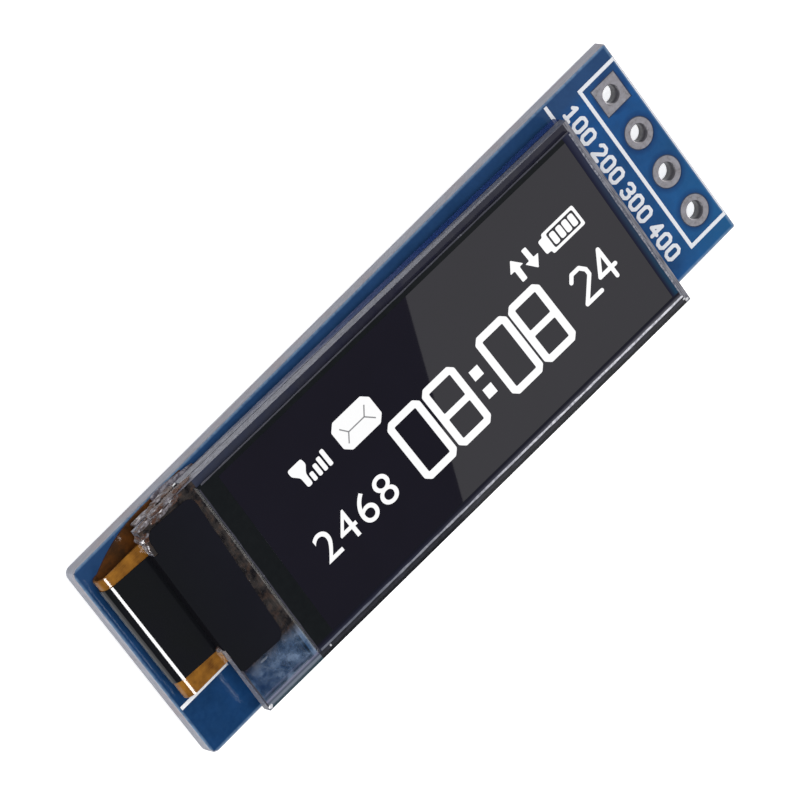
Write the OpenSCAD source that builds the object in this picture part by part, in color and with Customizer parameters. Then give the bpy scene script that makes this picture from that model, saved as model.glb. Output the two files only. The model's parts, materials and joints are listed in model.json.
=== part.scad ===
// Small OLED display module: a glass panel on a folded flex cable, stuck to a narrow circuit board.
// Millimetres. The board's middle is at X = 0, Y = 0, the pin header holes are at the +X end,
// the display faces +Z, and the tallest components on the back touch Z = 0.

/* [Circuit board] */
// Length of the board along X
board_l = 38; // [37:0.5:44]
// Width of the board along Y
board_w = 12; // [12:0.5:16]
// Thickness of the board, solder masks included
board_t = 0.8; // [0.6:0.1:1.6]
// Radius of the board's corners at the flex end
corner_r = 0.4; // [0.1:0.1:1]
// Radius of its corners at the header end
header_corner_r = 0.1; // [0.05:0.05:0.5]
// Thickness of each solder mask
mask_t = 0.03; // [0.02:0.005:0.035]
// Bare rim between the solder mask and the board's routed edge
mask_inset = 0.05; // [0.02:0.01:0.2]
// Gap between a bare pad and the solder mask round it
mask_gap = 0.06; // [0.02:0.01:0.1]
// Thickness of the copper pads
copper_t = 0.035; // [0.035:0.005:0.07]
// Thickness of the white print
print_t = 0.02; // [0.01:0.005:0.04]
// Width of the printed lines
line_w = 0.2; // [0.1:0.02:0.3]

/* [Pin header holes] */
// Number of header holes
pin_count = 4; // [2:1:4]
// Distance between the header holes
pin_pitch = 2.54; // [2:0.02:2.54]
// Diameter of the finished holes
hole_d = 1; // [0.8:0.05:1.1]
// Diameter of the round pads, and side of the square first pad
pad_d = 1.6; // [1.4:0.05:1.8]
// Distance from the holes' centres to the end of the board
header_edge = 1.27; // [1.1:0.01:2]

/* [Glass panel] */
// Length of board left clear for the header, from the front glass to the board's end
header_zone = 4.8; // [4:0.1:6]
// Width of the front glass and of the cap glass behind it
glass_w = 11.5; // [10.5:0.1:12.5]
// Thickness of the front glass
glass_t = 0.62; // [0.4:0.02:0.8]
// Length of the bare ledge that the cap glass leaves at the flex end
ledge_l = 3.4; // [3:0.1:4.4]
// Thickness of the cap glass
cap_t = 0.58; // [0.5:0.02:0.8]
// Depth of the hollow etched into the cap glass
cavity_h = 0.3; // [0.25:0.01:0.35]
// Distance from the flex end of the board to the front glass
panel_inset = 3.2; // [2.8:0.1:3.6]
// How far the panel sits off the board's centre line
panel_offset = -0.2; // [-0.4:0.05:0.1]
// Angle by which the panel was stuck down askew
panel_skew = 1.1; // [0:0.1:1.5]
// Thickness of the seal between the two glasses
seal_t = 0.05; // [0.04:0.01:0.1]
// Width of the seal
seal_w = 0.8; // [0.6:0.1:1]
// Setback of the seal from the glass edges
seal_inset = 0.1; // [0:0.05:0.2]
// Bare glass from the seal to the ends of the field of pixels
pixel_end = 1.2; // [0.5:0.1:2]
// Bare glass from the seal to the long sides of the field of pixels
pixel_side = 1.85; // [1:0.05:2.5]
// Thickness of the thin films and the bonding film
film_t = 0.02; // [0.01:0.005:0.03]
// Thickness of the drying sheet inside the cap glass
drier_t = 0.15; // [0.1:0.01:0.2]
// Thickness of the polarizer on the front glass
polarizer_t = 0.2; // [0.1:0.02:0.3]
// Setback of the polarizer from the long edges of the glass
polarizer_side = 0.45; // [0.2:0.05:0.8]
// Setback of the polarizer from the header end of the glass
polarizer_end = 0.3; // [0.1:0.05:0.8]
// Distance from the cap glass's edge to the polarizer at the flex end
polarizer_start = 0.25; // [0.1:0.05:0.6]

/* [Foam tape under the panel] */
// Thickness of the foam tape
foam_t = 0.45; // [0.4:0.05:0.8]
// Setback of the foam tape from the glass edges
foam_inset = 0.8; // [0.4:0.1:1.5]
// Gap between the foam tape and the end of the flex
foam_gap = 2.1; // [0.5:0.1:4]

/* [Flex cable] */
// Thickness of the flex
flex_t = 0.12; // [0.08:0.01:0.16]
// Width of the folded neck
neck_w = 7.58; // [7.2:0.1:7.7]
// How far the neck sits off the board's centre line
neck_offset = 1.26; // [1:0.05:1.3]
// Distance from the board's end to the outside of the fold
fold_inset = 0.5; // [0.1:0.1:0.8]
// Length over which the tail flares out
flare_l = 3.5; // [2.5:0.1:3.8]
// Board left bare beside the tail, at the board's +Y edge
tail_edge = 0.12; // [0.05:0.01:0.3]
// How far the neck reaches in under the front glass
bond_l = 1; // [0.7:0.05:1.2]
// How far the tail reaches in under the front glass
tail_reach = 4.2; // [3.8:0.1:5]
// Number of soldered contacts
contact_count = 14; // [10:1:14]
// Distance between the contacts
contact_pitch = 0.62; // [0.6:0.01:0.64]
// Width of a contact
contact_w = 0.32; // [0.25:0.01:0.36]
// Length of a contact
contact_l = 1.9; // [1.5:0.1:2.2]
// Bare flex beside the outer contacts
contact_rim = 0.21; // [0.1:0.01:0.3]

/* [Driver chip] */
// Length of the driver chip
chip_l = 6.8; // [5:0.1:8]
// Width of the driver chip
chip_w = 0.9; // [0.7:0.05:1.1]
// Thickness of the driver chip
chip_t = 0.3; // [0.2:0.02:0.4]
// Distance from the flex end of the glass to the driver chip
chip_start = 1.45; // [1.35:0.05:1.6]

/* [Black light shield tape] */
// Thickness of the tape
tape_t = 0.06; // [0.03:0.01:0.1]
// Length of the wide part along X
tape_l = 3; // [2.6:0.1:3.2]
// Bare ledge beside the wide part, on the +Y side
tape_side = 0.43; // [0.4:0.01:0.6]
// Bare ledge beside the wide part, on the -Y side
tape_low_side = 2.4; // [1.5:0.01:3]
// Radius of its corners
tape_r = 0.5; // [0.2:0.05:0.8]
// Width of the tongue that runs over the fold
tongue_w = 6; // [4:0.1:6.4]
// How far the tongue sits off the wide part's centre line
tongue_offset = 0.15; // [-0.2:0.05:0.25]
// Angle by which the tape was stuck askew on the panel
tape_skew = 2.9; // [0:0.1:4]
// Distance from the flex end of the glass to the wide part's centre
tape_start = 1.55; // [1.4:0.05:1.7]

/* [Components on the back] */
// Height of the regulator and of the two large capacitors, on which the module rests
part_h = 1; // [0.9:0.05:1.4]
// Length of a large capacitor
large_l = 2; // [1.8:0.1:2.2]
// Width of a large capacitor
large_w = 1.25; // [1:0.05:1.4]
// Length of a small capacitor or resistor
small_l = 1.6; // [1.4:0.1:1.8]
// Width of a small capacitor or resistor
small_w = 0.8; // [0.6:0.05:0.9]
// Height of a small capacitor
small_cap_h = 0.8; // [0.6:0.05:0.85]
// Height of a resistor
resistor_h = 0.45; // [0.35:0.05:0.6]
// Length of a metal end on a capacitor or resistor
end_l = 0.35; // [0.25:0.05:0.45]
// Length of the regulator's moulded body
regulator_l = 2.9; // [2.7:0.05:3.1]
// Width of the regulator's moulded body
regulator_w = 1.3; // [1.2:0.05:1.5]
// Distance between the regulator's leads
lead_pitch = 0.95; // [0.9:0.01:1]
// Length of the diode's moulded body
diode_l = 1.7; // [1.5:0.05:1.9]
// Width of the diode's moulded body
diode_w = 1.25; // [1.1:0.05:1.4]
// Height of the diode
diode_h = 0.85; // [0.7:0.05:0.88]

// Distance from the flex end of the board to the two large capacitors
component_start = 9; // [8:0.1:10]
// Distance of each large capacitor from the board's centre line
large_y = 3; // [2.5:0.1:3.5]
// Distance from the large capacitors to the first of each row of small parts
large_to_row = 4; // [3:0.1:4.2]
// Number of small capacitors and of resistors in the rows
row_count = 3; // [1:1:3]
// Distance between the small parts in a row
row_step = 2.4; // [1.8:0.1:2.6]
// Distance of each row from the board's centre line
row_y = 2.4; // [2:0.1:3]
// Distance from the large capacitors to the resistor past the row
far_resistor_gap = 12.4; // [11:0.1:13]
// Distance from the large capacitors to the capacitor past the row
far_cap_gap = 16.8; // [16:0.1:17]
// Distance from the large capacitors to the diode
diode_gap = 13.8; // [12:0.1:14]
// Distance from the header holes to the regulator
regulator_gap = 6.73; // [5:0.1:7]

/* [Hidden] */
$fn = 48;
over = 1;

// Heights, from the back components up to the display's face
core_z = part_h + copper_t;
core_t = board_t - 2 * mask_t;
core_top_z = core_z + core_t;
board_top_z = core_top_z + mask_t;
cap_z = board_top_z + foam_t;
seal_z = cap_z + cap_t;
glass_z = seal_z + seal_t;
glass_top_z = glass_z + glass_t;
tail_z = core_top_z + copper_t;
neck_top_z = glass_z - film_t;

// Plan positions on the board
end_x = board_l / 2;
header_x = end_x - header_edge;
glass_l = board_l - panel_inset - header_zone;
glass_start_x = panel_inset - end_x;
panel_x = glass_start_x + glass_l / 2;
bond_end_x = glass_start_x + bond_l;
tail_end_x = glass_start_x + tail_reach;

// Plan sizes in the panel's own frame, whose origin is the middle of the front glass
cap_l = glass_l - ledge_l;
cap_x = ledge_l / 2;
polarizer_l = cap_l - polarizer_start - polarizer_end;
polarizer_w = glass_w - 2 * polarizer_side;
polarizer_x = (glass_l - polarizer_l) / 2 - polarizer_end;
drier_gap = 0.4;
cavity_inset = seal_inset + seal_w;
pixel_l = cap_l - 2 * (cavity_inset + pixel_end);
pixel_w = glass_w - 2 * (cavity_inset + pixel_side);

// Flex fold: a half ring whose outside joins the neck's top to the tail's underside
fold_r = (neck_top_z - tail_z) / 2;
fold_z = tail_z + fold_r;
fold_x = fold_inset + fold_r - end_x;
tail_w = (contact_count - 1) * contact_pitch + contact_w + 2 * contact_rim;
tail_top_y = board_w / 2 - tail_edge;
tail_low_y = tail_top_y - tail_w;
tail_y = tail_top_y - tail_w / 2;
neck_top_y = neck_offset + neck_w / 2;
neck_low_y = neck_offset - neck_w / 2;
flare_steps = 12;
contact_t = 0.02;
contact_end = 0.1;
contact_x = tail_end_x - contact_end - contact_l / 2;
contact_solder_rim = 0.01;

// Tape: the wide part lies on the ledge, the tongue steps down to the neck and round the fold
tape_w = glass_w - tape_side - tape_low_side;
tape_y = (tape_low_side - tape_side) / 2;
tape_clearance = 0.05;
tongue_reach = 8;
step_gap = 0.01;
step_lap = 0.3;
tape_wrap = 0.3;

// Printed lines beside the flex and beside the panel's header end
flex_line_gap = 0.02;
flex_line_y = min(neck_low_y, tail_low_y) - flex_line_gap - line_w / 2;
flex_line_l = 3.2;
flex_line_start = 0.17;
outline_line_gap = 0.2;
outline_line_end = 0.2;

// Clear glue: a bead along the ledge that thins towards its top, and a drop under the ledge
bead_gap = 0.1;
bead_in = 0.6;
bead_out = 0.12;
bead_out_top = 0.03;
bead_rise = 0.36;
bead_r = 0.15;
drop_start = 2.1;
drop_y = -4.4;
// The drop's outline wraps round circles, each given as X, Y and radius
DROP = [[0, 0, 0.5], [0.62, -0.12, 0.42], [0.25, 0.45, 0.3]];

// Places of the back components: X, Y and turn
large_x = component_start - end_x;
row_x = large_x + large_to_row;
LARGE_CAPS = [for (side = [-1, 1]) [large_x, side * large_y, 90]];
SMALL_CAPS = concat([for (i = [0 : row_count - 1]) [row_x + i * row_step, row_y, 90]],
    [[large_x + far_cap_gap, -row_y, 0]]);
RESISTORS = concat([for (i = [0 : row_count - 1]) [row_x + i * row_step, -row_y, 90]],
    [[large_x + far_resistor_gap, -row_y, 90]]);
DIODE = [large_x + diode_gap, row_y, 0];
REGULATOR = [header_x - regulator_gap, 0, 0];

// Details shared by the back components
end_wrap = 0.02;
end_r = 0.08;
pad_rim = 0.12;
pad_toe = 0.35;
lead_t = 0.12;
lead_w = 0.4;
lead_out = 0.3;
lead_foot = 0.3;
body_lift = 0.08;
body_draft = 0.08;
fillet_h = 0.25;
fillet_l = 0.22;

// ---- Shared shapes ----

// A flat rectangle with rounded corners, centred on the origin
module rounded_rect(l, w, r) {
    square([l - 2 * r, w], center = true);
    square([l, w - 2 * r], center = true);
    for (x = [-1, 1], y = [-1, 1]) {
        translate([x * (l / 2 - r), y * (w / 2 - r)]) circle(r = r);
    }
}

// Moves children into the panel's frame
module on_panel() {
    translate([panel_x, panel_offset, 0]) rotate([0, 0, -panel_skew]) children();
}

// Moves children into the tape's frame
module on_tape() {
    on_panel() translate([tape_start - glass_l / 2, tape_y, 0]) rotate([0, 0, -tape_skew]) children();
}

// Hangs children under the board at place = [x, y, turn], with their own Z = 0 on the pads
module on_back(place) {
    translate([place.x, place.y, part_h]) rotate([180, 0, place.z]) children();
}

// Repeats children at each header hole; $pin counts from the square pad's hole
module at_pins() {
    for ($pin = [0 : pin_count - 1]) {
        translate([header_x, ((pin_count - 1) / 2 - $pin) * pin_pitch]) children();
    }
}

// Repeats children at each flex contact
module at_contacts() {
    for (i = [0 : contact_count - 1]) {
        translate([contact_x, tail_y + (i - (contact_count - 1) / 2) * contact_pitch]) children();
    }
}

// ---- Circuit board ----

// Outline of the whole board, or of what lies inset from its edge
module board_outline(inset) {
    l = board_l - 2 * inset;
    w = board_w - 2 * inset;
    translate([(corner_r - header_corner_r) / 2, 0])
        square([l - corner_r - header_corner_r, w], center = true);
    board_end_outline(-1, l, w, corner_r);
    board_end_outline(1, l, w, header_corner_r);
}

// The strip with two rounded corners at one end of a board outline; side is 1 at the header
module board_end_outline(side, l, w, r) {
    translate([side * (l - r) / 2, 0]) square([r, w - 2 * r], center = true);
    for (y = [-1, 1]) {
        translate([side * (l / 2 - r), y * (w / 2 - r)]) circle(r = r);
    }
}

// Outline of a header pad grown by a margin: square on the first pin, round on the others
module pin_pad_outline(grow) {
    if ($pin == 0) square(pad_d + 2 * grow, center = true);
    else circle(d = pad_d + 2 * grow);
}

// Outline of a flex pad grown by a margin; it runs past the flex's end for the solder
module flex_pad_outline(grow) {
    translate([contact_end, 0]) square([contact_l + 2 * grow, contact_w + 2 * grow], center = true);
}

module board_core() {
    color([0.66, 0.67, 0.72]) translate([0, 0, core_z]) difference() {
        linear_extrude(core_t) board_outline(0);
        translate([0, 0, -over]) at_pins() cylinder(d = hole_d, h = core_t + 2 * over);
    }
}

module solder_mask_top() {
    color([0.06, 0.27, 0.53]) translate([0, 0, core_top_z]) linear_extrude(mask_t) difference() {
        board_outline(mask_inset);
        at_pins() pin_pad_outline(mask_gap);
        at_contacts() flex_pad_outline(mask_gap);
    }
}

module solder_mask_bottom() {
    color([0.06, 0.27, 0.53]) difference() {
        translate([0, 0, core_z - mask_t]) linear_extrude(mask_t) difference() {
            board_outline(mask_inset);
            at_pins() pin_pad_outline(mask_gap);
        }
        component_pad_blocks(mask_gap, over);
    }
}

module silkscreen_lines() {
    color("white") translate([0, 0, board_top_z]) linear_extrude(print_t) intersection() {
        board_outline(mask_inset);
        union() {
            header_frame_outline();
            translate([flex_line_start - end_x, flex_line_y - line_w / 2]) square([flex_line_l, line_w]);
            translate([glass_start_x + glass_l + outline_line_gap, -board_w / 2])
                square([line_w, board_w - outline_line_end]);
        }
    }
}

// The printed frame round the header holes
module header_frame_outline() {
    translate([header_x, 0]) difference() {
        square([pin_pitch + line_w, pin_count * pin_pitch + line_w], center = true);
        square([pin_pitch - line_w, pin_count * pin_pitch - line_w], center = true);
    }
}

// A pad round each header hole on both faces; the hole's thin lining counts as its wall
module header_pads() {
    color([0.7, 0.69, 0.68]) for (z = [core_z - copper_t, core_top_z]) {
        translate([0, 0, z]) difference() {
            linear_extrude(copper_t) at_pins() pin_pad_outline(0);
            translate([0, 0, -over]) at_pins() cylinder(d = hole_d, h = copper_t + 2 * over);
        }
    }
}

module flex_pads() {
    color([0.72, 0.71, 0.68]) translate([0, 0, core_top_z]) linear_extrude(copper_t)
        at_contacts() flex_pad_outline(0);
}

// ---- Flex cable ----

// How far the tail has flared out, from 0 at s = 0 to 1 at s = 1, easing off at its end
function flare(s) = 1 - (1 - s) * (1 - s);

// Plan of the tail: it leaves the fold as wide as the neck and flares on both sides
module tail_outline() {
    upper = [for (i = [0 : flare_steps])
        [fold_x + flare_l * i / flare_steps, neck_top_y + (tail_top_y - neck_top_y) * flare(i / flare_steps)]];
    lower = [for (i = [flare_steps : -1 : 0])
        [fold_x + flare_l * i / flare_steps, neck_low_y + (tail_low_y - neck_low_y) * flare(i / flare_steps)]];
    polygon(concat(upper, [[tail_end_x, tail_top_y], [tail_end_x, tail_low_y]], lower));
}

// Side view of the fold between two radii: the half of the ring on the board's end side
module fold_ring(inner_r, outer_r) {
    translate([fold_x, fold_z]) difference() {
        circle(r = outer_r);
        circle(r = inner_r);
        translate([0, -outer_r - over]) square([outer_r + over, 2 * (outer_r + over)]);
    }
}

module flex_cable() {
    color([0.62, 0.36, 0.1]) {
        translate([0, neck_top_y, 0]) rotate([90, 0, 0]) linear_extrude(neck_w) {
            fold_ring(fold_r - flex_t, fold_r);
            translate([fold_x, neck_top_z - flex_t]) square([bond_end_x - fold_x, flex_t]);
        }
        translate([0, 0, tail_z]) linear_extrude(flex_t) tail_outline();
    }
}

// Bare copper fingers on the tail
module flex_contacts() {
    color([0.8, 0.62, 0.3]) translate([0, 0, tail_z + flex_t]) linear_extrude(contact_t)
        at_contacts() square([contact_l, contact_w], center = true);
}

// One run of solder on each contact: a half round bar with round ends
module flex_solder() {
    r = contact_w / 2 - contact_solder_rim;
    straight = contact_l - 2 * contact_w;
    color([0.78, 0.78, 0.8]) translate([0, 0, tail_z + flex_t + contact_t]) at_contacts() difference() {
        union() {
            translate([-straight / 2, 0, 0]) rotate([0, 90, 0]) cylinder(r = r, h = straight);
            for (x = [-1, 1]) {
                translate([x * straight / 2, 0, 0]) sphere(r = r);
            }
        }
        translate([-contact_l, -over, -over]) cube([2 * contact_l, 2 * over, over]);
    }
}

// ---- Glass panel ----

// Plan of the front glass, in the panel's frame
module glass_outline() {
    square([glass_l, glass_w], center = true);
}

// Plan of the polarizer grown by a margin, in the panel's frame
module polarizer_outline(grow) {
    translate([polarizer_x, 0]) square([polarizer_l + 2 * grow, polarizer_w + 2 * grow], center = true);
}

// Plan of what lies inset from the cap glass's edges, in the panel's frame
module cap_outline(inset) {
    translate([cap_x, 0]) square([cap_l - 2 * inset, glass_w - 2 * inset], center = true);
}

module front_glass() {
    color([0.55, 0.58, 0.66, 0.6]) on_panel() translate([0, 0, glass_z])
        linear_extrude(glass_t) glass_outline();
}

module cap_glass() {
    color([0.45, 0.47, 0.55, 0.8]) on_panel() translate([0, 0, cap_z]) difference() {
        linear_extrude(cap_t) cap_outline(0);
        translate([0, 0, cap_t - cavity_h]) linear_extrude(cavity_h + over) cap_outline(cavity_inset);
    }
}

module glass_seal() {
    color([0.75, 0.72, 0.6]) on_panel() translate([0, 0, seal_z]) linear_extrude(seal_t) difference() {
        cap_outline(seal_inset);
        cap_outline(cavity_inset);
    }
}

module pixel_layer() {
    color([0.16, 0.16, 0.2]) on_panel() translate([cap_x, 0, glass_z - film_t])
        linear_extrude(film_t) square([pixel_l, pixel_w], center = true);
}

module drying_sheet() {
    color([0.9, 0.9, 0.88]) on_panel() translate([0, 0, cap_z + cap_t - cavity_h])
        linear_extrude(drier_t) cap_outline(cavity_inset + drier_gap);
}

module polarizer() {
    color([0.09, 0.09, 0.13]) on_panel() translate([0, 0, glass_top_z])
        linear_extrude(polarizer_t) polarizer_outline(0);
}

module driver_chip() {
    color([0.2, 0.2, 0.22]) on_panel()
        translate([chip_start - glass_l / 2, tape_y - chip_l / 2, glass_z - chip_t])
        cube([chip_w, chip_l, chip_t]);
}

// Film that bonds the neck to the underside of the ledge
module bonding_film() {
    rim = 0.12;
    color([0.5, 0.42, 0.2]) translate([glass_start_x + rim, neck_low_y + rim, neck_top_z])
        cube([bond_l - 2 * rim, neck_w - 2 * rim, film_t]);
}

// ---- Tapes and glue ----

// Plan of the tongue and of its run back under the wide part
module tongue_outline() {
    on_tape() translate([-tongue_reach, tongue_offset - tongue_w / 2]) square([tongue_reach, tongue_w]);
}

// Plan of a strip beside the glass's flex end, from near to far away from the glass
module before_glass(near, far) {
    on_panel() translate([-glass_l / 2 - far, -glass_w]) square([far - near, 2 * glass_w]);
}

// Side view of the tape round the fold and along the neck
module tape_side() {
    intersection() {
        fold_ring(fold_r, fold_r + tape_t);
        translate([fold_x - fold_r - over, fold_z - tape_wrap * fold_r]) square([fold_r + over, 2 * fold_r]);
    }
    translate([fold_x, neck_top_z]) square([tongue_reach, tape_t]);
}

module light_shield_tape() {
    color([0.12, 0.12, 0.13]) {
        // Wide part on the ledge, and the tongue's lap over the glass's edge
        translate([0, 0, glass_top_z]) linear_extrude(tape_t) difference() {
            union() {
                intersection() {
                    on_tape() rounded_rect(tape_l, tape_w, tape_r);
                    on_panel() glass_outline();
                }
                intersection() {
                    tongue_outline();
                    before_glass(-step_lap, step_gap + tape_t);
                }
            }
            on_panel() polarizer_outline(tape_clearance);
        }
        // Step down beside the glass
        translate([0, 0, neck_top_z]) linear_extrude(glass_top_z + tape_t - neck_top_z) intersection() {
            tongue_outline();
            before_glass(step_gap, step_gap + tape_t);
        }
        // Tongue along the neck and round the fold
        intersection() {
            translate([0, board_w, 0]) rotate([90, 0, 0]) linear_extrude(2 * board_w) tape_side();
            linear_extrude(glass_top_z) intersection() {
                tongue_outline();
                before_glass(step_gap, tongue_reach);
            }
        }
    }
}

module foam_tape() {
    start = tail_reach + foam_gap;
    color([0.93, 0.93, 0.9]) on_panel()
        translate([start - glass_l / 2, foam_inset - glass_w / 2, board_top_z])
        cube([glass_l - start - foam_inset, glass_w - 2 * foam_inset, foam_t]);
}

// The bead along the ledge's +Y edge: a side view that thins upwards, with rounded ends in plan
module bead() {
    bead_z = tail_z + flex_t;
    on_panel() translate([-glass_l / 2, glass_w / 2 - bead_in, 0]) intersection() {
        rotate([90, 0, 90]) linear_extrude(ledge_l - bead_gap) polygon([
            [0, bead_z], [bead_in + bead_out, bead_z], [bead_in + bead_out, glass_z],
            [bead_in + bead_out_top, glass_z + bead_rise], [0, glass_z + bead_rise]
        ]);
        linear_extrude(glass_top_z) translate([(ledge_l - bead_gap) / 2, (bead_in + bead_out) / 2])
            rounded_rect(ledge_l - bead_gap, bead_in + bead_out, bead_r);
    }
}

module clear_glue() {
    color([0.8, 0.8, 0.76, 0.6]) {
        difference() {
            bead();
            on_panel() translate([0, 0, glass_z]) linear_extrude(glass_t) glass_outline();
            translate([fold_x, neck_low_y, neck_top_z - flex_t])
                cube([bond_end_x - fold_x, neck_w, flex_t + film_t]);
            on_panel() translate([0, 0, cap_z]) linear_extrude(cap_t + seal_t) cap_outline(0);
            flex_contacts();
            flex_solder();
        }
        on_panel() translate([drop_start - glass_l / 2, drop_y, board_top_z])
            linear_extrude(glass_z - board_top_z) hull() for (c = DROP) {
                translate([c.x, c.y]) circle(r = c.z);
            }
    }
}

// ---- Components on the back ----

// Copper blocks under each component's ends and leads, grown by a margin and thickened by extra
module component_pad_blocks(grow, extra) {
    for (p = LARGE_CAPS) on_back(p) chip_pads(large_l, large_w, grow, extra);
    for (p = concat(SMALL_CAPS, RESISTORS)) on_back(p) chip_pads(small_l, small_w, grow, extra);
    on_back(REGULATOR) for (lead = [-1 : 1]) {
        regulator_lead_place(lead) lead_pad(grow, extra);
    }
    on_back(DIODE) for (turn = [0, 180]) {
        rotate([0, 0, turn]) translate([diode_l / 2, 0, 0]) lead_pad(grow, extra);
    }
}

// Two pads under a capacitor or resistor of length l and width w
module chip_pads(l, w, grow, extra) {
    for (turn = [0, 180]) {
        rotate([0, 0, turn]) translate([l / 2 - end_l - grow, -w / 2 - pad_rim - grow, -copper_t - extra])
            cube([end_l + pad_toe + 2 * grow, w + 2 * (pad_rim + grow), copper_t + 2 * extra]);
    }
}

// The pad under one bent lead, which leaves the body at X = 0 and runs along +X
module lead_pad(grow, extra) {
    translate([lead_out - lead_t - grow, -lead_w / 2 - pad_rim - grow, -copper_t - extra])
        cube([lead_t + lead_foot + pad_rim + 2 * grow, lead_w + 2 * (pad_rim + grow), copper_t + 2 * extra]);
}

// The ceramic middle of a capacitor or resistor
module chip_middle(l, w, h) {
    translate([-l / 2 + end_l, -w / 2 + end_wrap, end_wrap])
        cube([l - 2 * end_l, w - 2 * end_wrap, h - 2 * end_wrap]);
}

// The two metal ends of a capacitor or resistor
module chip_ends(l, w, h) {
    for (x = [-l / 2, l / 2 - end_l]) {
        translate([x, 0, h / 2]) rotate([90, 0, 90]) linear_extrude(end_l) rounded_rect(w, h, end_r);
    }
}

// Solder that climbs from the pads up the two metal ends
module chip_fillets(l, w) {
    for (turn = [0, 180]) {
        rotate([0, 0, turn]) translate([l / 2, w / 2 - end_r, 0]) rotate([90, 0, 0])
            linear_extrude(w - 2 * end_r) solder_wedge();
    }
}

// Side view of a solder fillet: a hollow curve from the pad up to the metal
module solder_wedge() {
    difference() {
        square([fillet_l, fillet_h]);
        translate([fillet_l, fillet_h]) circle(r = fillet_l);
    }
}

// A moulded body whose sides slope away from the seam where the leads come out
module moulded_body(l, w, h) {
    seam = (h + body_lift) / 2;
    translate([-l / 2, 0, 0]) rotate([90, 0, 90]) linear_extrude(l) polygon([
        [-w / 2, seam - lead_t / 2], [-w / 2 + body_draft, body_lift],
        [w / 2 - body_draft, body_lift], [w / 2, seam - lead_t / 2],
        [w / 2, seam + lead_t / 2], [w / 2 - body_draft, h],
        [-w / 2 + body_draft, h], [-w / 2, seam + lead_t / 2]
    ]);
}

// One bent lead that leaves a body of height h at X = 0
module bent_lead(h) {
    top = (h + body_lift) / 2 + lead_t / 2;
    translate([0, lead_w / 2, 0]) rotate([90, 0, 0]) linear_extrude(lead_w) polygon([
        [0, top], [lead_out, top], [lead_out, lead_t], [lead_out + lead_foot, lead_t],
        [lead_out + lead_foot, 0], [lead_out - lead_t, 0], [lead_out - lead_t, top - lead_t], [0, top - lead_t]
    ]);
}

// Places a regulator lead: two on one side at lead = -1 and 1, the third opposite at lead = 0
module regulator_lead_place(lead) {
    side = lead == 0 ? 1 : -1;
    translate([lead * lead_pitch, side * regulator_w / 2, 0]) rotate([0, 0, side * 90]) children();
}

module component_pads() {
    color([0.72, 0.71, 0.68]) component_pad_blocks(0, 0);
}

module capacitor_bodies() {
    color([0.62, 0.48, 0.33]) {
        for (p = LARGE_CAPS) on_back(p) chip_middle(large_l, large_w, part_h);
        for (p = SMALL_CAPS) on_back(p) chip_middle(small_l, small_w, small_cap_h);
    }
}

module capacitor_ends() {
    color([0.75, 0.75, 0.76]) {
        for (p = LARGE_CAPS) on_back(p) chip_ends(large_l, large_w, part_h);
        for (p = SMALL_CAPS) on_back(p) chip_ends(small_l, small_w, small_cap_h);
    }
}

module resistor_bodies() {
    color([0.1, 0.1, 0.11]) for (p = RESISTORS) on_back(p) chip_middle(small_l, small_w, resistor_h);
}

module resistor_ends() {
    color([0.75, 0.75, 0.76]) for (p = RESISTORS) on_back(p) chip_ends(small_l, small_w, resistor_h);
}

module regulator_body() {
    color([0.1, 0.1, 0.11]) on_back(REGULATOR) moulded_body(regulator_l, regulator_w, part_h);
}

module regulator_leads() {
    color([0.75, 0.75, 0.76]) on_back(REGULATOR) for (lead = [-1 : 1]) {
        regulator_lead_place(lead) bent_lead(part_h);
    }
}

module diode_body() {
    color([0.1, 0.1, 0.11]) on_back(DIODE) rotate([0, 0, 90]) moulded_body(diode_w, diode_l, diode_h);
}

module diode_leads() {
    color([0.75, 0.75, 0.76]) on_back(DIODE) for (turn = [0, 180]) {
        rotate([0, 0, turn]) translate([diode_l / 2, 0, 0]) bent_lead(diode_h);
    }
}

module component_solder() {
    color([0.78, 0.78, 0.8]) {
        for (p = LARGE_CAPS) on_back(p) chip_fillets(large_l, large_w);
        for (p = concat(SMALL_CAPS, RESISTORS)) on_back(p) chip_fillets(small_l, small_w);
    }
}

board_core();
solder_mask_top();
solder_mask_bottom();
silkscreen_lines();
header_pads();
flex_pads();
flex_cable();
flex_contacts();
flex_solder();
front_glass();
cap_glass();
glass_seal();
pixel_layer();
drying_sheet();
polarizer();
driver_chip();
bonding_film();
light_shield_tape();
foam_tape();
clear_glue();
component_pads();
capacitor_bodies();
capacitor_ends();
resistor_bodies();
resistor_ends();
regulator_body();
regulator_leads();
diode_body();
diode_leads();
component_solder();
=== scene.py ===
"""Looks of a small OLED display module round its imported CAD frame. Metres; +Z points out of the display."""
import json
import math

import bmesh
import bpy
from mathutils import Matrix, Vector, noise


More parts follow.
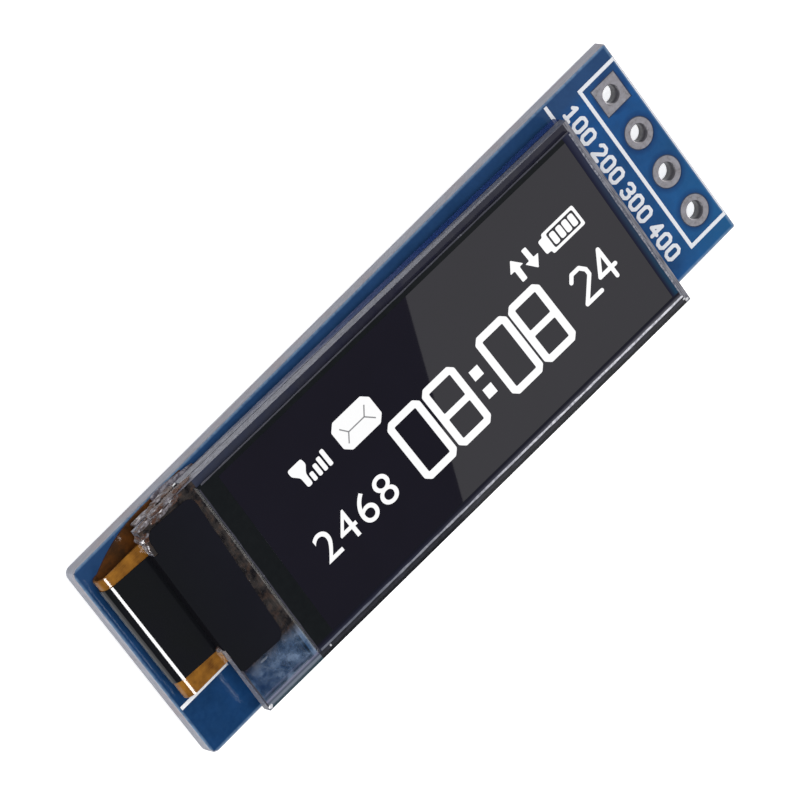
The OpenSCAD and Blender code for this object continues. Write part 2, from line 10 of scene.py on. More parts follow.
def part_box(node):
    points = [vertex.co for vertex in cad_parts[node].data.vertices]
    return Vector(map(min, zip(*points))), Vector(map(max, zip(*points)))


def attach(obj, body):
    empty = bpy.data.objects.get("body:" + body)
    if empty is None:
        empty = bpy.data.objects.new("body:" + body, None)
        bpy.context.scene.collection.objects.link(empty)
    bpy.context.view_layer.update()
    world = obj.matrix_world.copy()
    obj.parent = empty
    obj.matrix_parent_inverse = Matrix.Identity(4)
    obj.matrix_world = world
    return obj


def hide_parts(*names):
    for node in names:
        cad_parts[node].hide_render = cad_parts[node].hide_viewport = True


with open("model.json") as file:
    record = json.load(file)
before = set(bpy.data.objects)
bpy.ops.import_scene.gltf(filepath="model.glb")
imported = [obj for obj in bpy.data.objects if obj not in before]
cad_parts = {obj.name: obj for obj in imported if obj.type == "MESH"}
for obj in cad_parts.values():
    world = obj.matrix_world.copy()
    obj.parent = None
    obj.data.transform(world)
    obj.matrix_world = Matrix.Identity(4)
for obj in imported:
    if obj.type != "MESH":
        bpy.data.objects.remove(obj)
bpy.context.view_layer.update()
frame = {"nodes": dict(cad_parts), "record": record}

MM = 0.001

# The panel was stuck down askew: its own frame has its origin in the middle of the glass's top face
PANEL_SKEW = math.radians(-1.1)
glass_low, glass_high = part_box("front_glass")
board_low, board_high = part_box("board_core")
mask_low, mask_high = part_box("solder_mask_top")
polarizer_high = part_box("polarizer")[1]
neck_low, neck_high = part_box("flex_cable")
panel_centre = (glass_low + glass_high) / 2
PANEL = Matrix.Translation((panel_centre.x, panel_centre.y, 0)) @ Matrix.Rotation(PANEL_SKEW, 4, "Z")
# The front glass, and how far from its middle the sealed part and the polarizer begin, in millimetres
GLASS_LENGTH = 30
GLASS_WIDTH = 11.5
LEDGE_END = -11.6
FILM_START = -11.3
# The display's window on the polarizer, in millimetres in the panel's frame
WINDOW_LOW = (-10.15, -4.9)
WINDOW_HIGH = (14.17, 5.02)
pin_mounts = [m for m in frame["record"]["mounts"] if m["kind"] == "bore"]
PAD_RADIUS = 0.85 * MM

# ---------------- camera

# Where the camera stands round the board, as the photograph was taken
CAMERA_AZIMUTH = math.radians(217.9)
CAMERA_ELEVATION = math.radians(59.85)
CAMERA_ROLL = math.radians(100.91)
CAMERA_DISTANCE = 337.9 * MM
CAMERA_AIM = Vector((-0.573 * MM, 0.25 * MM, mask_high.z))
CAMERA_LENS = 315


def make_camera():
    """A long lens above the flex end, rolled so that the board runs up to the right."""
    away = Vector((
        math.cos(CAMERA_ELEVATION) * math.sin(CAMERA_AZIMUTH),
        -math.cos(CAMERA_ELEVATION) * math.cos(CAMERA_AZIMUTH),
        math.sin(CAMERA_ELEVATION),
    ))
    right = (-away).cross(Vector((0, 0, 1))).normalized()
    up = right.cross(-away)
    turned_right = math.cos(CAMERA_ROLL) * right + math.sin(CAMERA_ROLL) * up
    turned_up = math.cos(CAMERA_ROLL) * up - math.sin(CAMERA_ROLL) * right
    camera = bpy.data.objects.new("camera", bpy.data.cameras.new("camera"))
    camera.data.lens = CAMERA_LENS
    camera.data.sensor_width = 36
    camera.data.clip_start = 10 * MM
    camera.data.clip_end = 10
    turn = Matrix((turned_right, turned_up, away)).transposed().to_4x4()
    camera.matrix_world = Matrix.Translation(CAMERA_AIM + CAMERA_DISTANCE * away) @ turn
    bpy.context.scene.collection.objects.link(camera)
    bpy.context.scene.camera = camera


# ---------------- materials


class Surface:
    """A procedural material being put together, with its noise taken from the object's own space."""

    def __init__(self, name):
        self.material = bpy.data.materials.new(name)
        self.material.use_nodes = True
        self.tree = self.material.node_tree
        self.shader = self.tree.nodes["Principled BSDF"]
        self.output = self.tree.nodes["Material Output"]
        self.place = self.node("TexCoord").outputs["Object"]

    def node(self, kind, inputs=None, **settings):
        """A new shader node with its settings; an input is a value or another node's output."""
        made = self.tree.nodes.new("ShaderNode" + kind)
        for key, value in settings.items():
            setattr(made, key, value)
        for key, value in (inputs or {}).items():
            self.feed(made.inputs[key], value)
        return made

    def feed(self, socket, value):
        """Links another node's output to a socket, or sets the socket's own value."""
        if isinstance(value, bpy.types.NodeSocket):
            self.tree.links.new(value, socket)
        else:
            socket.default_value = value

    def set(self, **inputs):
        """Values or links for the shader's own sockets; an underscore in a name stands for a space."""
        for key, value in inputs.items():
            self.feed(self.shader.inputs[key.replace("_", " ")], value)

    def noise(self, size, detail=4, rough=0.6, stretch=(1, 1, 1)):
        """Cloudy noise from 0 to 1 with blotches about size across, longer along stretched axes."""
        scale = [1 / (size * longer) for longer in stretch]
        spread = self.node("Mapping", {"Vector": self.place, "Scale": scale})
        inputs = {"Vector": spread.outputs[0], "Scale": 1.0, "Detail": detail, "Roughness": rough}
        return self.node("TexNoise", inputs).outputs["Fac"]

    def ramp(self, value, *stops):
        """Colours along a value: each stop is a position and a grey level or a colour."""
        made = self.node("ValToRGB", {"Fac": value})
        elements = made.color_ramp.elements
        while len(elements) < len(stops):
            elements.new(0.5)
        for element, (position, level) in zip(elements, stops):
            element.position = position
            colour = (level,) * 3 if isinstance(level, (int, float)) else level
            element.color = (*colour, 1)
        return made.outputs["Color"]

    def mix(self, factor, first, second):
        """A colour blend of two colours or outputs."""
        made = self.node("Mix", data_type="RGBA")
        self.feed(made.inputs["Factor"], factor)
        for socket, value in ((made.inputs[6], first), (made.inputs[7], second)):
            self.feed(socket, value if isinstance(value, bpy.types.NodeSocket) else (*value, 1))
        return made.outputs[2]

    def math(self, operation, first, second=0.0):
        """The result of a Math node's operation on numbers or outputs."""
        made = self.node("Math", operation=operation)
        self.feed(made.inputs[0], first)
        self.feed(made.inputs[1], second)
        return made.outputs[0]

    def times(self, first, second):
        return self.math("MULTIPLY", first, second)

    def mix_value(self, factor, first, second):
        """A blend of two numbers or outputs."""
        made = self.node("Mix", data_type="FLOAT")
        self.feed(made.inputs["Factor"], factor)
        self.feed(made.inputs[2], first)
        self.feed(made.inputs[3], second)
        return made.outputs[0]

    def span(self, value, low, high, to_low=0.0, to_high=1.0):
        """A value moved from one range to another and held inside it."""
        inputs = {"Value": value, "From Min": low, "From Max": high, "To Min": to_low, "To Max": to_high}
        return self.node("MapRange", inputs).outputs["Result"]

    def axis(self, name):
        """The X, Y or Z of the point in metres."""
        return self.node("SeparateXYZ", {"Vector": self.place}).outputs[name]

    def panel(self):
        """How far the point is along and across the panel from the middle of its glass, in millimetres."""
        shift = self.node("VectorMath", {0: self.place, 1: PANEL.translation}, operation="SUBTRACT")
        inputs = {"Vector": shift.outputs[0], "Angle": -PANEL_SKEW}
        turned = self.node("VectorRotate", inputs, rotation_type="Z_AXIS")
        apart = self.node("SeparateXYZ", {"Vector": turned.outputs[0]})
        return [self.times(apart.outputs[name], 1 / MM) for name in ("X", "Y")]

    def from_edge(self, position, half):
        """Distance in from the nearer of two edges at plus and minus half."""
        return self.math("SUBTRACT", half, self.math("ABSOLUTE", position))

    def from_outline(self, low, high):
        """Distance in millimetres in from the sides of a box that is centred on the board."""
        side = self.from_edge(self.times(self.axis("Y"), 1 / MM), (high.y - low.y) / MM / 2)
        end = self.from_edge(self.times(self.axis("X"), 1 / MM), (high.x - low.x) / MM / 2)
        return self.math("MINIMUM", side, end)

    def level_face(self, low, high):
        """A value that goes from 0 to 1 as the size of the surface normal's Z goes from low to high."""
        normal = self.node("NewGeometry").outputs["Normal"]
        upright = self.node("SeparateXYZ", {"Vector": normal}).outputs["Z"]
        return self.span(self.math("ABSOLUTE", upright), low, high)

    def bump(self, height, depth, strength=1.0, under=None):
        """Dents of the given depth, over any earlier bump."""
        inputs = {"Height": height, "Distance": depth, "Strength": strength}
        if under is not None:
            inputs["Normal"] = under
        return self.node("Bump", inputs).outputs["Normal"]

    def near_point(self, point, radius, soft):
        """1 within radius of an upright line through the point, falling to 0 over soft."""
        flat = self.node("VectorMath", {0: self.place, 1: (1, 1, 0)}, operation="MULTIPLY")
        inputs = {0: flat.outputs[0], 1: (point[0], point[1], 0)}
        distance = self.node("VectorMath", inputs, operation="DISTANCE").outputs["Value"]
        return self.span(distance, radius, radius + soft, 1.0, 0.0)


def solder_mask():
    """Blue lacquer: cloudy and darker round the header pads; painted light makes it lighter towards the
    header, in the corner there and in the panel's shadow, and adds to a pale rim where the mask thins.
    """
    look = Surface("solder_mask")
    cloud = look.noise(2.6 * MM, 4)
    fine = look.noise(0.25 * MM, 3)
    blotch = look.span(cloud, 0.32, 0.68)
    # Painted light: the lacquer is made lighter from the flex end towards the header end.
    along = look.span(look.axis("X"), board_low.x, board_high.x)
    low = look.mix(blotch, (0.006, 0.033, 0.1), (0.012, 0.062, 0.19))
    high = look.mix(blotch, (0.01, 0.055, 0.175), (0.014, 0.1, 0.32))
    colour = look.mix(along, low, high)
    # Painted light: the strip at +Y that the panel shades is made lighter to make up for its shadow.
    panel_shadow_lift = look.mix(blotch, (0.017, 0.055, 0.15), (0.025, 0.075, 0.2))
    colour = look.mix(look.span(look.axis("Y"), 4.4 * MM, 5.1 * MM), colour, panel_shadow_lift)
    # Painted light: a lighter patch in the header-end corner at -Y.
    corner = look.times(look.span(look.axis("X"), 14.5 * MM, board_high.x),
                        look.span(look.axis("Y"), 4 * MM, board_low.y))
    colour = look.mix(look.times(corner, 0.7), colour, (0.016, 0.13, 0.31))
    ring = 0.0
    for mount in pin_mounts:
        near = look.near_point(mount["pos_m"], PAD_RADIUS, 0.3 * MM)
        ring = look.math("MAXIMUM", near, ring)
    colour = look.mix(look.times(ring, 0.6), colour, (0.006, 0.024, 0.11))
    # The pale rim is partly the mask thinning at the board's edge and partly a painted highlight.
    rim = look.span(look.from_outline(mask_low, mask_high), 0.02, 0.14, 1.0, 0.0)
    rim = look.times(rim, look.span(fine, 0.3, 0.6, 0.45, 1.0))
    colour = look.mix(rim, colour, (0.2, 0.33, 0.5))
    colour = look.mix(look.span(fine, 0.35, 0.75, 0.0, 0.12), colour, (0.04, 0.13, 0.3))
    look.set(Base_Color=colour, Roughness=look.span(cloud, 0.3, 0.7, 0.1, 0.15))
    look.set(Specular_IOR_Level=0.1)
    look.set(Normal=look.bump(fine, 2e-6, 0.4))
    return look.material


def laminate():
    """Sawn glass-fibre laminate: pale and fibrous with rough pits, with painted shade darkening its +Y side;
    blue where a gap in the mask bares it.
    """
    look = Surface("laminate")
    layers = look.noise(0.12 * MM, 4, 0.7, (9, 9, 0.8))
    grit = look.noise(0.05 * MM, 3, 0.8)
    stain = look.noise(1.4 * MM, 3)
    colour = look.ramp(layers, (0.25, (0.24, 0.26, 0.31)), (0.5, (0.38, 0.4, 0.47)),
                       (0.75, (0.58, 0.59, 0.66)))
    colour = look.mix(look.span(grit, 0.35, 0.7, 0.0, 0.5), colour, (0.66, 0.65, 0.71))
    colour = look.mix(look.span(stain, 0.42, 0.68, 0.0, 0.55), colour, (0.42, 0.35, 0.36))
    # Painted shade: the +Y side of the board is made darker for the light it lacks.
    shaded_long_side = look.span(look.axis("Y"), board_high.y - 0.15 * MM, board_high.y - 0.05 * MM, 0.0, 0.45)
    colour = look.mix(shaded_long_side, colour, look.mix(stain, (0.16, 0.2, 0.27), (0.26, 0.22, 0.22)))
    inner = look.span(look.from_outline(board_low, board_high), 0.1, 0.14)
    colour = look.mix(look.times(inner, look.level_face(0.5, 0.6)), colour, (0.035, 0.06, 0.12))
    look.set(Base_Color=colour, Roughness=0.72, Specular_IOR_Level=0.35)
    rough = look.bump(layers, 2e-5, 0.6)
    look.set(Normal=look.bump(grit, 1.2e-5, 0.5, rough))
    return look.material


def white_ink():
    """Screen-printed ink: bright, chalky, with small pinholes."""
    look = Surface("white_ink")
    grain = look.noise(0.06 * MM, 4, 0.7)
    look.set(Base_Color=look.ramp(grain, (0.25, (0.6, 0.65, 0.74)), (0.4, (0.9, 0.92, 0.97))))
    look.set(Roughness=0.6)
    look.set(Normal=look.bump(grain, 5e-6, 0.6))
    return look.material


def tin(name, shade=0.6, rough=0.34):
    """Tinned copper or plated steel, dulled by handling, with a soft grain and darker patches."""
    look = Surface(name)
    patch = look.noise(0.3 * MM, 3)
    grain = look.noise(0.045 * MM, 3, 0.7)
    dull = (shade * 0.72, shade * 0.7, shade * 0.76)
    colour = look.mix(look.span(patch, 0.3, 0.7), dull, (shade * 1.2, shade * 1.2, shade * 1.36))
    look.set(Base_Color=look.mix(look.span(grain, 0.35, 0.75, 0.0, 0.4), colour, (0.42, 0.37, 0.37)))
    look.set(Roughness=look.span(patch, 0.3, 0.7, rough - 0.06, rough + 0.1))
    look.set(Metallic=0.12, Specular_IOR_Level=0.1)
    look.set(Normal=look.bump(grain, 4e-6, 0.5))
    return look.material


def hole_lining():
    """The plated wall of a header hole: painted dark for the shade inside it, with a painted reflection
    making it bright where it turns to the flex end.
    """
    look = Surface("hole_lining")
    grain = look.noise(0.07 * MM, 3, 0.7)
    header_x = pin_mounts[0]["pos_m"][0]
    # Painted shade: the lining is dark for the shade inside the hole.
    dark = look.mix(grain, (0.03, 0.03, 0.04), (0.11, 0.105, 0.12))
    # Painted reflection: the wall turns bright on its flex-end side.
    turned = look.span(look.axis("X"), header_x - 0.1 * MM, header_x - 0.42 * MM)
    look.set(Base_Color=look.mix(turned, dark, (0.75, 0.72, 0.75)), Metallic=0.2, Roughness=0.4)
    look.set(Normal=look.bump(grain, 6e-6, 0.5))
    return look.material


def solder():
    """Bright solder with a wavy skin."""
    look = Surface("solder")
    wave = look.noise(0.12 * MM, 2)
    look.set(Base_Color=look.mix(wave, (0.62, 0.62, 0.64), (0.86, 0.86, 0.87)), Metallic=1.0)
    look.set(Roughness=look.span(wave, 0.3, 0.7, 0.12, 0.28))
    look.set(Normal=look.bump(wave, 1.5e-5, 0.6))
    return look.material


def gold_copper():
    """Gold-plated contacts, lightly scuffed."""
    look = Surface("gold_copper")
    grain = look.noise(0.05 * MM, 3)
    look.set(Base_Color=look.mix(grain, (0.65, 0.42, 0.16), (0.85, 0.62, 0.28)), Metallic=1.0)
    look.set(Roughness=look.span(grain, 0.3, 0.7, 0.2, 0.36))
    return look.material


def amber_flex():
    """Glossy amber film over copper tracks that show as faint stripes, darkest on the flat tail, where the
    darkness is painted shade under the fold.
    """
    look = Surface("amber_flex")
    cloud = look.noise(0.8 * MM, 4)
    spread = look.node("Mapping", {"Vector": look.place, "Scale": (0, 1 / (0.31 * MM), 0)})
    inputs = {"Vector": spread.outputs[0], "Scale": 1.0, "Distortion": 0.0}
    stripes = look.node("TexWave", inputs, bands_direction="Y").outputs["Fac"]
    colour = look.mix(look.span(cloud, 0.3, 0.7), (0.12, 0.043, 0.008), (0.4, 0.17, 0.022))
    colour = look.mix(look.times(stripes, 0.15), colour, (0.44, 0.2, 0.03))
    # Painted shade: the flat tail under the fold is made darker.
    tail_shade = look.span(look.axis("Z"), neck_low.z + 0.16 * MM, neck_low.z + 0.5 * MM, 0.85, 0.0)
    dark = look.mix(look.span(cloud, 0.4, 0.65), (0.035, 0.018, 0.012), (0.11, 0.032, 0.01))
    colour = look.mix(tail_shade, colour, dark)
    look.set(Base_Color=colour, Roughness=0.1, Specular_IOR_Level=0.25)
    look.set(Normal=look.bump(stripes, 2e-6, 0.3, look.bump(cloud, 1e-5, 0.3)))
    return look.material


def black_tape():
    """Thin black film with a faint leathery skin; its step at the glass is dull and painted a little lighter
    to make up for the shade on it.
    """
    look = Surface("black_tape")
    cloud = look.noise(2.5 * MM, 3)
    skin = look.noise(0.08 * MM, 3)
    along = look.span(look.axis("X"), -17 * MM, -12 * MM)
    flat = look.mix(along, (0.0075, 0.0085, 0.009), (0.01, 0.01, 0.0165))
    flat = look.mix(look.span(cloud, 0.35, 0.65, 0.0, 0.5), flat, (0.0075, 0.0075, 0.012))
    # Painted light: the step's colour is lifted to make up for the shade on it.
    step = look.times(look.span(look.axis("X"), -17 * MM, -16.8 * MM), look.level_face(0.3, 0.1))
    look.set(Base_Color=look.mix(step, flat, (0.0125, 0.0125, 0.016)))
    smooth = look.span(skin, 0.3, 0.7, 0.07, 0.11)
    look.set(Roughness=look.mix_value(step, smooth, 1.0), Specular_IOR_Level=look.mix_value(step, 0.3, 0.0))
    look.set(Normal=look.bump(cloud, 4e-6, 0.3))
    return look.material


def display_window():
    """Glossy near-black film with the faintest blue cloud."""
    look = Surface("display_window")
    cloud = look.noise(4 * MM, 3)
    look.set(Base_Color=look.mix(cloud, (0.0062, 0.0052, 0.0105), (0.0088, 0.0074, 0.0155)))
    look.set(Roughness=0.015)
    look.set(Normal=look.bump(look.noise(3 * MM, 1), 3e-7, 0.3))
    return look.material


def polarizer_border():
    """The film round the display's window: black at the flex end, navy at the header end, and a painted
    highlight in grey along -Y that grows towards the header end.
    """
    look = Surface("polarizer_border")
    u, v = look.panel()
    cloud = look.noise(0.4 * MM, 3)
    low = WINDOW_LOW[1]
    right = WINDOW_HIGH[0]
    colour = look.mix(cloud, (0.008, 0.0095, 0.011), (0.0135, 0.0155, 0.017))
    navy = look.mix(look.span(v, 4, -5), (0.03, 0.034, 0.064), (0.014, 0.05, 0.1))
    navy = look.mix(look.span(u, right + 0.06, right + 0.3), (0.013, 0.014, 0.034), navy)
    colour = look.mix(look.span(u, right - 0.02, right + 0.04), colour, navy)
    # Painted highlight: a grey band along the film's -Y edge, lighter towards the header end.
    edge_highlight = look.mix(look.span(u, -4, 12), (0.03, 0.032, 0.055), (0.13, 0.13, 0.15))
    base = look.mix(look.span(v, low - 0.12, low - 0.28), (0.012, 0.012, 0.022), edge_highlight)
    colour = look.mix(look.span(v, low, low - 0.06), colour, base)
    look.set(Base_Color=colour, Roughness=0.12, Specular_IOR_Level=0.05)
    look.set(Normal=look.bump(cloud, 3e-6, 0.4))
    return look.material


def see_through(look, tint, milk, amount, shine, rough=0.05):
    """A thin clear skin: tinted see-through mixed with a milky colour, under a sharp reflection."""
    see = look.node("BsdfTransparent", {"Color": (*tint, 1)})
    body = look.node("BsdfDiffuse", {"Color": milk})
    clear = look.node("MixShader", {0: amount, 1: see.outputs[0], 2: body.outputs[0]})
    gloss = look.node("BsdfGlossy", {"Color": (1, 1, 1, 1), "Roughness": rough})
    fresnel = look.node("Fresnel", {"IOR": 1.5}).outputs[0]
    whole = look.node("MixShader", {0: look.times(fresnel, shine)})
    look.tree.links.new(clear.outputs[0], whole.inputs[1])
    look.tree.links.new(gloss.outputs[0], whole.inputs[2])
    look.tree.links.new(whole.outputs[0], look.output.inputs["Surface"])


def front_glass():
    """Glass that is clear over the ledge, navy over the sealed part, and ground grey where it was cut, with a
    painted highlight in a streaky band at the header end.
    """
    look = Surface("front_glass")
    u, v = look.panel()
    cloud = look.noise(0.7 * MM, 4)
    grit = look.noise(0.06 * MM, 4, 0.75, (5, 1, 1))
    streak = look.noise(0.07 * MM, 3, 0.7, (1, 14, 1))
    margin = look.mix(look.span(u, -12, 0), (0.045, 0.055, 0.096), (0.02, 0.02, 0.04))
    margin = look.mix(look.span(cloud, 0.3, 0.7, 0.0, 0.5), margin, (0.05, 0.05, 0.06))
    lip = look.mix(look.span(cloud, 0.3, 0.7), (0.02, 0.02, 0.022), (0.045, 0.045, 0.06))
    lip = look.mix(look.span(v, -5.55, -5.65), lip, (0.012, 0.012, 0.014))
    margin = look.mix(look.span(v, -5.3, -5.36), margin, lip)
    # Painted highlight: a streaky pale band on the glass at the header end.
    far_end = look.mix(look.span(streak, 0.35, 0.65), (0.11, 0.11, 0.14), (0.36, 0.36, 0.4))
    margin = look.mix(look.span(u, 14.72, 14.76), margin, far_end)
    low_end = look.span(v, -3.3, -4.0)
    blotch = look.span(cloud, 0.4, 0.62)
    stain = look.span(look.noise(0.35 * MM, 3), 0.5, 0.72, 0.0, 0.6)
    brown = look.mix(blotch, (0.012, 0.011, 0.013), (0.072, 0.062, 0.057))
    brown = look.mix(stain, brown, (0.1, 0.05, 0.03))
    blue = look.mix(blotch, (0.045, 0.1, 0.2), (0.2, 0.28, 0.42))
    haze = look.mix(low_end, brown, blue)
    lines = look.ramp(look.span(v, -5.75, -5.15), (0.0, (0.02, 0.05, 0.07)), (0.2, (0.04, 0.07, 0.09)),
                      (0.3, (0.2, 0.23, 0.28)), (0.45, (0.2, 0.23, 0.3)), (0.55, (0.07, 0.09, 0.13)),
                      (0.75, (0.24, 0.24, 0.36)), (1.0, (0.14, 0.18, 0.26)))
    edge = look.span(v, -5.2, -5.3)
    haze = look.mix(edge, haze, lines)
    sealed = look.span(u, LEDGE_END - 0.02, LEDGE_END + 0.02)
    inside = look.math("MINIMUM", look.from_edge(u, GLASS_LENGTH / 2), look.from_edge(v, GLASS_WIDTH / 2))
    rim = look.span(inside, 0.05, 0.35, 1.0, 0.0)
    amount = look.math("MAXIMUM", look.times(sealed, 0.94), look.times(rim, 0.6))
    amount = look.math("MAXIMUM", amount, look.times(edge, 0.85))
    milky = look.times(look.span(cloud, 0.38, 0.62, 0.15, 1.0), look.span(u, -14.8, -12.2, 0.25, 0.75))
    amount = look.math("MAXIMUM", amount, look.mix_value(low_end, 0.72, milky))
    wall = look.mix(look.span(grit, 0.32, 0.68), (0.1, 0.1, 0.13), (0.36, 0.37, 0.44))
    wall = look.mix(look.span(u, -10, 12, 0.0, 0.65), wall, (0.06, 0.065, 0.1))
    level = look.level_face(0.45, 0.55)
    top = look.mix(look.span(u, FILM_START - 0.02, FILM_START + 0.02), haze, margin)
    amount = look.mix_value(level, 0.82, amount)
    see_through(look, (0.86, 0.9, 0.95), look.mix(level, wall, top), amount, 0.45)
    return look.material


def cap_glass():
    """The glass behind: smoky where it is clear, and grey to blue on its cut sides."""
    look = Surface("cap_glass")
    along = look.panel()[0]
    grit = look.noise(0.08 * MM, 4, 0.75, (6, 1, 1))
    near = look.mix(look.span(grit, 0.3, 0.7), (0.08, 0.085, 0.11), (0.36, 0.36, 0.42))
    far = look.mix(look.span(grit, 0.3, 0.7), (0.01, 0.032, 0.15), (0.035, 0.065, 0.21))
    wall = look.mix(look.span(along, -11, 6), near, far)
    level = look.level_face(0.45, 0.55)
    milk = look.mix(level, wall, (0.03, 0.03, 0.045))
    see_through(look, (0.6, 0.63, 0.7), milk, look.mix_value(level, 0.78, 0.6), 0.5)
    return look.material


def glue_clear():
    """Glue dried clear to cloudy: rust brown where the flex shows through, with grey and white flecks."""
    look = Surface("glue_clear")
    cloud = look.noise(0.32 * MM, 4, 0.65, (1.6, 1, 1))
    milk = look.ramp(cloud, (0.3, (0.02, 0.017, 0.015)), (0.42, (0.15, 0.055, 0.025)),
                     (0.5, (0.13, 0.11, 0.11)), (0.6, (0.26, 0.24, 0.27)), (0.72, (0.8, 0.78, 0.78)))
    see_through(look, (0.9, 0.86, 0.83), milk, look.span(cloud, 0.3, 0.65, 0.4, 0.9), 0.4, 0.2)
    return look.material


def frosted_glue():
    """Glue smeared thin: pale, streaky and half clear."""
    look = Surface("frosted_glue")
    streak = look.noise(0.22 * MM, 4, 0.6, (1, 3, 1))
    milk = look.mix(streak, (0.1, 0.15, 0.24), (0.34, 0.4, 0.52))
    see_through(look, (0.95, 0.95, 0.95), milk, look.span(streak, 0.3, 0.7, 0.15, 0.75), 0.5, 0.2)
    return look.material


def dried_glue():
    """Glue dried over the end of the flex: dull grey with brown showing through."""
    look = Surface("dried_glue")
    stain = look.noise(0.3 * MM, 4, 0.7)
    colour = look.ramp(stain, (0.3, (0.09, 0.06, 0.05)), (0.48, (0.13, 0.12, 0.15)),
                       (0.62, (0.42, 0.4, 0.45)))
    look.set(Base_Color=colour, Roughness=0.4, Specular_IOR_Level=0.3)
    look.set(Normal=look.bump(stain, 2e-5, 0.5))
    return look.material


def glint(name, dim, bright, rare):
    """Painted glints on cut edges: a dull line with pale specks, fewer where rare is high."""
    look = Surface(name)
    speck = look.noise(0.16 * MM, 4, 0.8)
    fade = look.noise(2.2 * MM, 2)
    level = look.times(look.span(speck, rare, rare + 0.2), look.span(fade, 0.3, 0.65, 0.35, 1.0))
    look.set(Base_Color=look.mix(level, dim, bright), Roughness=0.5, Specular_IOR_Level=0.1)
    return look.material


def bright_glint():
    """A painted highlight on the cut edge: a pale line, brighter towards the header end, that dims here and
    there.
    """
    look = Surface("bright_glint")
    speck = look.noise(0.2 * MM, 3, 0.7)
    fade = look.span(look.panel()[0], -8, 6)
    dim = look.mix(speck, (0.07, 0.08, 0.11), (0.2, 0.21, 0.26))
    bright = look.mix(look.span(speck, 0.3, 0.6), (0.36, 0.36, 0.42), (0.85, 0.85, 0.92))
    look.set(Base_Color=look.mix(fade, dim, bright), Roughness=0.5, Specular_IOR_Level=0.1)
    return look.material


def plain(name, low, high, rough, size, depth=6e-6, metallic=0.0):
    """A part whose colour varies between two tones with matching fine bumps."""
    look = Surface(name)
    tone = look.noise(size * 4, 3)
    grain = look.noise(size, 4, 0.7)
    look.set(Base_Color=look.mix(look.times(look.math("ADD", tone, grain), 0.5), low, high))
    look.set(Roughness=look.span(grain, 0.3, 0.7, rough - 0.08, rough + 0.08), Metallic=metallic)
    look.set(Normal=look.bump(grain, depth, 0.5))
    return look.material


def lit_pixels():
    """White pixels at full brightness, seen through the polarizer's gloss."""
    look = Surface("lit_pixels")
    grain = look.noise(0.09 * MM, 2)
    look.set(Base_Color=(0.02, 0.02, 0.02, 1), Roughness=0.05, Emission_Strength=1.0)
    look.set(Emission_Color=look.mix(grain, (0.93, 0.93, 0.94), (1.0, 1.0, 1.0)))
    return look.material


def fold_line():
    """Dark pixels between lit ones, with a painted grey glow for the light of the lit ones round them."""
    look = Surface("fold_line")
    look.set(Base_Color=(0.1, 0.1, 0.1, 1), Emission_Strength=1.0)
    look.set(Emission_Color=look.mix(look.noise(0.1 * MM), (0.1, 0.1, 0.11), (0.16, 0.16, 0.17)))
    return look.material


MATERIALS = {
    "mask": solder_mask(),
    "laminate": laminate(),
    "ink": white_ink(),
    "tin": tin("tinned_pads", 0.3, 0.3),
    "plating": hole_lining(),
    "solder": solder(),
    "gold": gold_copper(),
    "amber": amber_flex(),
    "tape": black_tape(),
    "window": display_window(),
    "polarizer": polarizer_border(),
    "glass": front_glass(),
    "cap": cap_glass(),
    "frost": frosted_glue(),
    "faint_glint": glint("faint_glint", (0.034, 0.034, 0.05), (0.5, 0.5, 0.57), 0.6),
    "dull_glint": glint("dull_glint", (0.065, 0.065, 0.085), (0.5, 0.5, 0.57), 0.6),
    "glint": glint("glint", (0.13, 0.14, 0.18), (0.5, 0.5, 0.56), 0.42),
    "dried": dried_glue(),
    "bright_glint": bright_glint(),
    "glue": glue_clear(),
    "seal": plain("seal_resin", (0.09, 0.09, 0.12), (0.14, 0.14, 0.17), 0.5, 0.1 * MM),
    "pixels": plain("pixel_films", (0.02, 0.02, 0.03), (0.035, 0.035, 0.05), 0.3, 0.2 * MM),
    "drier": plain("drying_sheet", (0.55, 0.55, 0.53), (0.7, 0.7, 0.68), 0.8, 0.1 * MM),
    "silicon": plain("silicon", (0.06, 0.06, 0.075), (0.1, 0.1, 0.12), 0.25, 0.05 * MM, metallic=0.4),
    "bond": plain("bonding_film", (0.2, 0.14, 0.05), (0.34, 0.24, 0.1), 0.4, 0.05 * MM),
    "foam": plain("foam", (0.62, 0.62, 0.6), (0.78, 0.78, 0.76), 0.9, 0.06 * MM, 2e-5),
    "ceramic": plain("ceramic", (0.3, 0.19, 0.1), (0.42, 0.28, 0.16), 0.5, 0.06 * MM),
    "resistor": plain("resistor_glaze", (0.012, 0.012, 0.014), (0.03, 0.03, 0.033), 0.3, 0.08 * MM),
    "mould": plain("moulded_epoxy", (0.014, 0.014, 0.015), (0.032, 0.032, 0.034), 0.55, 0.05 * MM, 8e-6),
    "lit": lit_pixels(),
    "fold_line": fold_line(),
    "chip": plain("chipped_edge", (0.55, 0.55, 0.6), (0.92, 0.92, 0.95), 0.25, 0.05 * MM),
}

NODE_MATERIALS = {
    "board_core": "laminate", "solder_mask_top": "mask", "solder_mask_bottom": "mask",
    "silkscreen_lines": "ink", "header_pads": "tin", "flex_pads": "tin", "flex_cable": "amber",
    "flex_contacts": "gold", "flex_solder": "solder", "front_glass": "glass", "cap_glass": "cap",
    "glass_seal": "seal", "pixel_layer": "pixels", "drying_sheet": "drier", "polarizer": "polarizer",
    "driver_chip": "silicon", "bonding_film": "bond", "light_shield_tape": "tape", "foam_tape": "foam",
    "clear_glue": "glue", "component_pads": "tin", "capacitor_bodies": "ceramic", "capacitor_ends": "tin",
    "resistor_bodies": "resistor", "resistor_ends": "tin", "regulator_body": "mould",
    "regulator_leads": "tin", "diode_body": "mould", "diode_leads": "tin", "component_solder": "solder",
}


